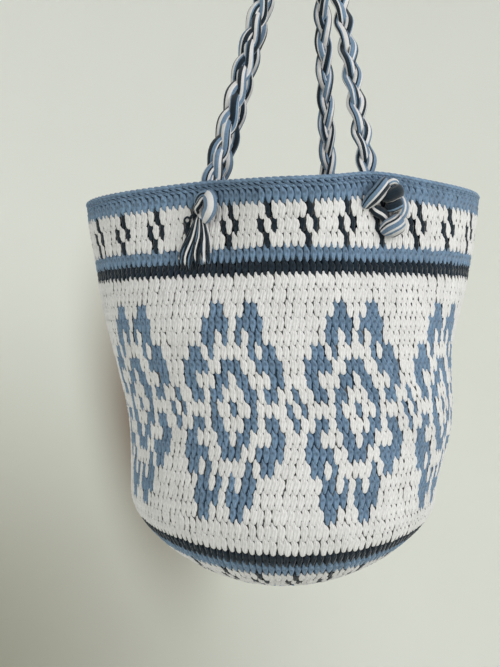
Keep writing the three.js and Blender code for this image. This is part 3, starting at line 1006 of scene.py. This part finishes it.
    def chain_edge(self):
        """The chain of loops that finishes the rim: a leaning pair of grains over each stitch"""
        bm = mapped_bmesh()
        bmesh.ops.create_uvsphere(
            bm, u_segments=GRAIN_SIDES, v_segments=GRAIN_RINGS, radius=1, calc_uvs=True
        )
        shape = mesh_of(bm, "grain")
        out, down, ahead = corners_of(shape).T
        around = self.bag.stitches_around
        mesh = copies(shape, around * 2)
        parts = []
        for side in (1, -1):
            columns = np.arange(around)[:, None] + (0.0 if side > 0 else 0.5)
            column = (columns + GRAIN_LENGTH * ahead) % around
            reach = GRAIN_DOWN + GRAIN_RADIUS * down + GRAIN_SLOPE * ahead * side
            lift = side * GRAIN_OUT + GRAIN_RADIUS * out + GRAIN_LEAN * side * ahead
            reach, lift = (np.broadcast_to(values, column.shape) for values in (reach, lift))
            parts.append(self.fabric.point(column, reach, lift).reshape(-1, 3))
        return self.laid("crochet_edge", mesh, parts, [BLUE] * around * 2, "edge")


# The camera, as in the photograph, and what the two soft lights look at
CAMERA_PLACE = (-0.051, -0.700, -0.408)
CAMERA_LENS = 42.64
CAMERA_SENSOR = 36
KEY = {"place": (1.25, -1.15, 0.35), "target": (-0.02, 0.0, -0.38), "size": 1.5}
FILL = {"place": (-1.4, -1.1, -0.1), "target": (-0.02, 0.0, -0.4), "size": 1.6}
ROOM_COLOUR = (0.97, 0.98, 1.0, 1)
# The backdrop: the hole in the floor's middle that is merged away, the curve from floor to wall and its
# steps, the wall's top, the steps round it, and the roughness, grain and unevenness of its plaster
FLOOR_HOLE = 0.001
WALL_CURVE = 0.6
CURVE_STEPS = 8
WALL_TOP = 1.6
WALL_STEPS = 96
PLASTER_ROUGHNESS = 0.95
PLASTER_GRAIN = 4.0
PLASTER_LIGHT = (0.985, 1.015)


class BAG_OT_stage(bpy.types.Operator):
    """Sets up the camera, a round pale backdrop and soft lights"""

    bl_idname = "bag.stage"
    bl_label = "Set the stage"

    def execute(self, context):
        stage = context.scene.stage_settings
        camera_data = bpy.data.cameras.new("camera")
        camera_data.sensor_width = CAMERA_SENSOR
        camera_data.sensor_fit = "AUTO"
        camera_data.lens = CAMERA_LENS
        camera = placed("camera", camera_data)
        camera.location = CAMERA_PLACE
        camera.rotation_euler = (math.radians(90), 0, 0)
        context.scene.camera = camera
        self.backdrop(stage)
        self.light("key", power=stage.key_power, **KEY)
        self.light("fill", power=stage.fill_power, **FILL)
        world = bpy.data.worlds.new("room")
        world.use_nodes = True
        background = world.node_tree.nodes["Background"]
        background.inputs["Color"].default_value = ROOM_COLOUR
        background.inputs["Strength"].default_value = stage.sky
        context.scene.world = world
        context.scene.view_settings.view_transform = "Standard"
        context.scene.view_settings.look = "None"
        return {"FINISHED"}

    def backdrop(self, stage):
        """A round floor that curves up into a wall"""
        bm = bmesh.new()
        inner = stage.wall_radius - WALL_CURVE
        line = [(FLOOR_HOLE, stage.floor_drop), (inner, stage.floor_drop)]
        for i in range(1, CURVE_STEPS + 1):
            turn = math.radians(90) * i / CURVE_STEPS
            rise = WALL_CURVE * (1 - math.cos(turn))
            line.append((inner + WALL_CURVE * math.sin(turn), stage.floor_drop + rise))
        line.append((stage.wall_radius, WALL_TOP))
        verts = [bm.verts.new((r, 0, z)) for r, z in line]
        edges = [bm.edges.new(pair) for pair in zip(verts, verts[1:])]
        bmesh.ops.spin(
            bm, geom=verts + edges, cent=(0, 0, 0), axis=(0, 0, 1), angle=math.tau, steps=WALL_STEPS,
            use_merge=True
        )
        bmesh.ops.remove_doubles(bm, verts=bm.verts, dist=2 * FLOOR_HOLE)
        bmesh.ops.recalc_face_normals(bm, faces=bm.faces)
        bmesh.ops.reverse_faces(bm, faces=bm.faces)
        for face in bm.faces:
            face.smooth = True
        mesh = mesh_of(bm, "backdrop")
        mesh.materials.append(self.plaster(stage))
        piece = placed("backdrop", mesh)

    def plaster(self, stage):
        """The backdrop's material, with a wide shade low at its left and the bag's own shade"""
        made = Nodes("plaster", PLASTER_ROUGHNESS)
        place = made.add("ShaderNodeTexCoord").outputs["Object"]
        grain = made.spread(made.noise(place, PLASTER_GRAIN, 2.0), (0.0, 1.0), PLASTER_LIGHT)
        colour = made.scaled(stage.wall, grain)
        for middle, reach, lean, left in (
            (stage.shade_place, stage.shade_reach, 0.0, stage.shade_colour),
            (stage.near_place, stage.near_reach, stage.near_lean, stage.near_colour),
        ):
            values = {"Vector": place, "Location": middle, "Rotation": (0, lean, 0), "Scale": reach}
            local = made.add("ShaderNodeMapping", values, vector_type="TEXTURE").outputs["Vector"]
            away = made.vector("LENGTH", local, out="Value")
            fade = made.add("ShaderNodeMapRange", {"Value": away}, interpolation_type="SMOOTHSTEP")
            share = made.vector("MULTIPLY_ADD", fade.outputs["Result"], [1 - level for level in left], left)
            colour = made.vector("MULTIPLY", colour, share)
        made.set("Base Color", colour)
        made.set("Emission Color", colour)
        made.set("Emission Strength", stage.wall_glow)
        return made.material

    def light(self, name, place, target, size, power):
        """A round soft light that faces its target"""
        data = bpy.data.lights.new(name, "AREA")
        data.shape = "DISK"
        data.size = size
        data.energy = power
        lamp = placed(name, data)
        lamp.location = place
        lamp.rotation_euler = (Vector(target) - Vector(place)).to_track_quat("-Z", "Y").to_euler()


# A strap's place on the wall: how far out the lie of the wall is measured, and the angle to both sides over
# which it is
WALL_OUTSIDE = 0.0028
WALL_STEP = math.radians(3)
# From millimetres along, out of and up the wall to metres in the wall's frame
MILLIMETRES = (0.001, -0.001, 0.001)


class WallPlace:
    """The frame on the wall at a strap's hole: X along the wall, -Y out of the bag, Z up the wall"""

    def __init__(self, fabric, number):
        bag = bag_sizes()
        angle = bag.strap_angles[number]
        self.seat = bag.knot_seats[number]
        height = bag.rim_height - handle_sizes().drop_below_rim
        angles = np.array((angle - WALL_STEP, angle, angle + WALL_STEP))
        before, self.origin, after = fabric.hang(fabric.radius, angles, np.full(3, height))
        rises = np.array((height + bag.row_height, height - bag.row_height))
        above, below = fabric.hang(fabric.radius + WALL_OUTSIDE, np.full(2, angle), rises)
        across = unit((after - before) * (1, 1, 0))
        inward = unit(np.cross(above - below, across))
        self.axes = np.array((across, inward, np.cross(across, inward)))

    def place(self, points):
        """From points in the wall's frame to the bag's"""
        return self.origin + np.asarray(points, float) @ self.axes

    def line(self, points, count):
        """A smooth line through points in millimetres along the wall, out of it and up it"""
        return centripetal(self.place(np.array(points) * MILLIMETRES), count)[0]


# A handle's points inside the wall: how far in and up the first lies, how far up the second, and how much
# further in and above the rim the third. Two of these are shares of the inside turn, the others lengths
FIRST_INSIDE = 0.6
FIRST_RISE = 0.002
SECOND_RISE = 0.8
THIRD_INSIDE = 0.0025
THIRD_RISE = 0.008
# Its points on the way up to the hook, as shares of that way, and round the bend over the hook
LEG_SHARES = (0.2, 0.5, 0.8)
BEND_DEGREES = (165, 128, 90, 52, 15)
# Points on a handle's centreline
HANDLE_POINTS = 260


class HandleLine:
    """The centreline of a handle from one knot over the hook to the other, and the lie of its braid"""

    def __init__(self, left, right, facing):
        sizes = handle_sizes()
        hook_y = -facing * sizes.spacing / 2
        bend_z = sizes.half_thickness - sizes.bend_radius
        turn = sizes.inside_turn
        ends = []
        for wall, side in ((left, -1), (right, 1)):
            end = list(wall.place((
                (0, wall.seat - sizes.strap_end, 0),
                (0, turn * FIRST_INSIDE, FIRST_RISE),
                (0, turn, turn * SECOND_RISE),
                (0, turn + THIRD_INSIDE, sizes.drop_below_rim + THIRD_RISE),
            )))
            foot = end[-1]
            top = np.array((sizes.bend_radius * side, hook_y, bend_z))
            ends.append(end + [foot + (top - foot) * share for share in LEG_SHARES])
        bend = []
        for angle in np.radians(BEND_DEGREES):
            rise = sizes.bend_radius * math.sin(angle)
            bend.append(np.array((sizes.bend_radius * math.cos(angle), hook_y, bend_z + rise)))
        self.points = [*ends[0], *bend, *ends[1][::-1]]
        self.line, self.length = centripetal(self.points, HANDLE_POINTS)
        share = np.linspace(0, 1, len(self.line))
        span = sizes.twist_to - sizes.twist_from
        to_hook = ease((share - sizes.twist_from) / span)[:, None]
        from_hook = ease((share - 1 + sizes.twist_to) / span)[:, None]
        side = left.axes[0] * facing * (1 - to_hook) + np.array((0, -facing, 0)) * to_hook
        side = side * (1 - from_hook) - right.axes[0] * facing * from_hook
        heading = unit(np.gradient(self.line, axis=0))
        self.side = unit(side - np.sum(side * heading, axis=1, keepdims=True) * heading)
        self.depth = np.cross(heading, self.side)

    def strand(self, number):
        """The middle of one of the three strands"""
        sizes = handle_sizes()
        share = np.linspace(0, 1, len(self.line))[:, None]
        turn = math.tau * (share * self.length / sizes.braid_turn + number / 3)
        wide = sizes.half_width * np.sin(turn)
        return self.line + self.side * wide + self.depth * sizes.half_depth * np.sin(2 * turn)


# The yarns round each strand of a braid, in groups of one colour
STRAND_YARNS = ("NNNWWBNNNNBBWNNWWB", "WWWBNNWWWBBBNWWBBN", "BBBWNNNWWBBBWWNNBW")
# Length in which a strand's ends close
STRAND_TIPS = 0.002


class BAG_OT_handles(bpy.types.Operator):
    """Braids the two handles, each from three strands of many yarns"""

    bl_idname = "bag.handles"
    bl_label = "Braid the handles"

    def execute(self, context):
        fabric = Fabric()
        walls = [WallPlace(fabric, number) for number in range(4)]
        self.braid("front", HandleLine(walls[0], walls[1], 1))
        self.braid("back", HandleLine(walls[2], walls[3], -1))
        return {"FINISHED"}

    def braid(self, name, route):
        """One handle"""
        sizes = handle_sizes()
        turns = route.length / sizes.bundle_turn
        strands = []
        for number, letters in enumerate(STRAND_YARNS):
            strands.append(Strand(
                route.strand(number), route.side, sizes.bundle_width, sizes.bundle_depth, letters, turns,
                STRAND_TIPS
            ))
        mesh = strand_mesh(f"{name}_handle", strands, np.random.default_rng(SEEDS[name]))
        nodes = [f"{name}_handle_strand_{number}" for number in (1, 2, 3)]
        cottons = yarn_materials("strap", strands=3.0, twist=1.2, bump=0.3)
        piece = finished(f"{name}_braid", mesh, nodes, cottons)
        return piece


# A knot's wraps: points on each one's line, and how its width changes from end to end
WRAP_POINTS = 30
WRAP_SWELL = ((0, 0.3, 0.7, 1), (0.55, 1, 1, 0.55))
# A tassel's yarns: how many, how thick, the colours they are drawn from, and the points on each
TASSEL_YARNS = 54
TASSEL_RADIUS = 0.0009
TASSEL_COLOURS = (NAVY, NAVY, NAVY, NAVY, NAVY, WHITE, WHITE, BLUE, BLUE)
TASSEL_POINTS = 12
# In millimetres, how long they are and by how much that varies, how much longer the middle ones are,
# and how far below the hole they begin. The middle ones lie at this place in the fan, from -1 to 1
TASSEL_LENGTH = (35, 4, 5.5)
TASSEL_TOP = -5.5
TASSEL_MIDDLE = -0.1
# From top to foot, in millimetres: the middle along the wall and the spread from it, the least distance out
# of the wall and the spread from it, the share of the length, and the waver
TASSEL_STATIONS = (
    (-0.4, 2.6, 6.3, 2.4, 0.0, 0.0),
    (-2.4, 9.0, 4.4, 4.5, 0.42, 0.6),
    (-5.415, 13.95, 3.6, 6.5, 0.8, 0.5),
    (-5.5, 15.0, 3.6, 6.5, 1.0, 0.0),
)
# The stray yarn of a tassel, in millimetres: how it leaves, and the ring that it lies in
STRAY_START = ((-6, 5, -4), (-9, 4.4, -5))
RING_MIDDLE = (-12.5, 4, -8)
RING_RADIUS = 2.4
RING_DEGREES = range(20, 400, 40)
RING_POINTS = 36


class BAG_OT_knots(bpy.types.Operator):
    """Ties the knots outside the wall, with a tassel or a folded end below each"""

    bl_idname = "bag.knots"
    bl_label = "Tie the knots"

    def execute(self, context):
        fabric = Fabric()
        for i, name in enumerate(("front_left", "front_right", "back_left", "back_right")):
            wall = WallPlace(fabric, i)
            chance = np.random.default_rng(SEEDS["knots"] + i)
            if name in ("front_left", "back_right"):
                self.knot(name, wall, TASSEL_KNOT, chance, [f"{name}_knot"])
                self.tassel(name, wall, chance)
            else:
                self.knot(name, wall, FOLDED_KNOT, chance, [f"{name}_knot", f"{name}_loop_end"])
        return {"FINISHED"}

    def knot(self, name, wall, wraps, chance, nodes):
        """The wraps of one knot"""
        strands = []
        for points, half_width, half_depth, letters in wraps:
            line = wall.line(points, WRAP_POINTS)
            side = np.cross(-wall.axes[1], unit(np.gradient(line, axis=0)))
            swell = np.interp(np.linspace(0, 1, len(line)), *WRAP_SWELL)
            doubled = [letter for letter in letters for _ in range(2)]
            strands.append(Strand(line, side, half_width * swell, half_depth * swell, doubled))
        mesh = strand_mesh(f"{name}_knot", strands, chance)
        return finished(f"{name}_tied_knot", mesh, nodes, yarn_materials("strap"))

    def tassel(self, name, wall, chance):
        """The loose yarns below a knot, and a stray one beside it"""
        mean, spread, longer = TASSEL_LENGTH
        lines = []
        yarns = []
        for _ in range(TASSEL_YARNS):
            across = chance.uniform(-1, 1)
            depth = chance.uniform(0, 1)
            length = mean + spread * chance.uniform(-1, 1) + longer * (1 - abs(across - TASSEL_MIDDLE))
            points = []
            for middle, fan, out, thick, share, waver in TASSEL_STATIONS:
                along_it = middle + fan * across + (chance.normal(0, waver) if waver else 0)
                points.append((along_it, out + thick * depth, TASSEL_TOP - share * length))
            lines.append(wall.line(points, TASSEL_POINTS))
            yarns.append(int(chance.choice(TASSEL_COLOURS)))
        ring = list(STRAY_START)
        for angle in np.radians(RING_DEGREES):
            x, out, z = RING_MIDDLE
            ring.append((x + RING_RADIUS * math.cos(angle), out, z + RING_RADIUS * math.sin(angle)))
        lines.append(wall.line(ring, RING_POINTS))
        yarns.append(NAVY)
        mesh = yarn_mesh(f"{name}_tassel", lines, TASSEL_RADIUS, yarns, chance)
        return finished(f"{name}_fringe", mesh, [f"{name}_tassel"], yarn_materials("strap"))


# Wraps of a knot, in millimetres along the wall, out of it and up it: the line, half the width, half the
# depth and the yarns round it. The first half of the yarns lies outside, from the line's left to its right.
TASSEL_KNOT = (
    (
        ((-5.7, 1, 2.1), (-3.6, 5, 7.4), (2.8, 8, 11.1), (9.1, 7, 10.1), (13.4, 3, 6.4)),
        0.0026, 0.0020, "BBNBWBBBBB"
    ),
    (
        ((-4.7, 1, -4.2), (-4.1, 5, 0), (-0.4, 8, 3.2), (2.8, 8, 7.4), (5.9, 4, 9.5)),
        0.0030, 0.0022, "WNWNNWWNNN"
    ),
    (
        ((-3.6, 2, -5.3), (-1, 6, -5.8), (1.7, 8, -7.4), (3.8, 7, -9.5)),
        0.0020, 0.0018, "WWNWNN"
    ),
    (
        (
            (2.2, 2, 10.6), (6.5, 8, 9.5), (10.2, 12, 4.8),
            (10.5, 12.5, -1.1), (7.5, 11, -6.4), (2.8, 7, -11.1)
        ),
        0.0058, 0.0034, "BBWWWBBNWBBNWWBBWB"
    ),
    (
        ((-1.5, 3, -6.4), (1.7, 9, -7.6), (4.9, 9, -8.1), (7.5, 4, -6.9)),
        0.0012, 0.0012, "WWBWNW"
    ),
)
FOLDED_KNOT = (
    (
        ((-6, 1, -2), (-3, 4, -6), (2, 6, -9), (7, 4, -12), (9, 1, -13)),
        0.0048, 0.0026, "NNNWNNNNNNNN"
    ),
    (
        ((-12, 1, -5), (-11, 6, -2), (-6, 11, 5), (0, 11, 12), (4, 7, 15.5), (6, 2, 16)),
        0.0060, 0.0034, "BBNBBWNNWWWNBBNBBNBBNB"
    ),
    (
        ((1.5, 6, 9), (4, 10, 13.5), (8, 11, 15.5), (13, 8, 15), (16, 3, 12)),
        0.0025, 0.0022, "WWBWWWWBWW"
    ),
    (
        ((17, 1, 9), (19, 6, 4), (19.5, 9, -3), (18, 8, -9), (13, 4, -15)),
        0.0042, 0.0028, "WBBWBWWBBBWBBB"
    ),
    (
        ((5, 4, -5), (8, 9, -4), (12, 11, -2), (16, 8, 0), (18, 4, 2)),
        0.0048, 0.0030, "NNNNNBNWNNNNNNNN"
    ),
    (
        ((0.5, 6, 2), (4, 12, 4), (9.5, 14, 7), (14.5, 11, 9), (18, 5, 10)),
        0.0052, 0.0032, "NNNNNNNNWNNNNNNNNN"
    ),
    (
        ((4, 2, -23), (6, 8, -21), (11, 11, -18), (15.5, 8, -15), (17.5, 2, -13.5)),
        0.0078, 0.0050, "BBWNWBBWBWWNNBWNBWBBWNNBWN"
    ),
)


class BAG_PT_panel(bpy.types.Panel):
    """Lists the bag's pieces in the sidebar"""

    bl_idname = "BAG_PT_panel"
    bl_label = "Crocheted bag"
    bl_space_type = "VIEW_3D"
    bl_region_type = "UI"
    bl_category = "Bag"

    def draw(self, context):
        for group in GROUPS:
            values = getattr(context.scene, group)
            box = self.layout.box()
            box.label(text=group.replace("_", " ").capitalize())
            for key in values.bl_rna.properties.keys():
                if key not in ("name", "rna_type"):
                    box.prop(values, key)
        for operator in PIECES:
            self.layout.operator(operator.bl_idname)


GROUPS = {
    "bag_sizes": BagSizes,
    "handle_sizes": HandleSizes,
    "yarn_colours": YarnColours,
    "stage_settings": StageSettings,
}
PIECES = (BAG_OT_stage, BAG_OT_handles, BAG_OT_knots, BAG_OT_crochet)
CLASSES = (*GROUPS.values(), *PIECES, BAG_PT_panel)


def register():
    for made in CLASSES:
        bpy.utils.register_class(made)
    for name, group in GROUPS.items():
        setattr(bpy.types.Scene, name, bpy.props.PointerProperty(type=group))


def unregister():
    for name in GROUPS:
        delattr(bpy.types.Scene, name)
    for made in reversed(CLASSES):
        bpy.utils.unregister_class(made)


def main():
    register()
    bpy.ops.bag.stage()
    bpy.ops.bag.handles()
    bpy.ops.bag.knots()
    bpy.ops.bag.crochet()


if __name__ == "__main__":
    main()
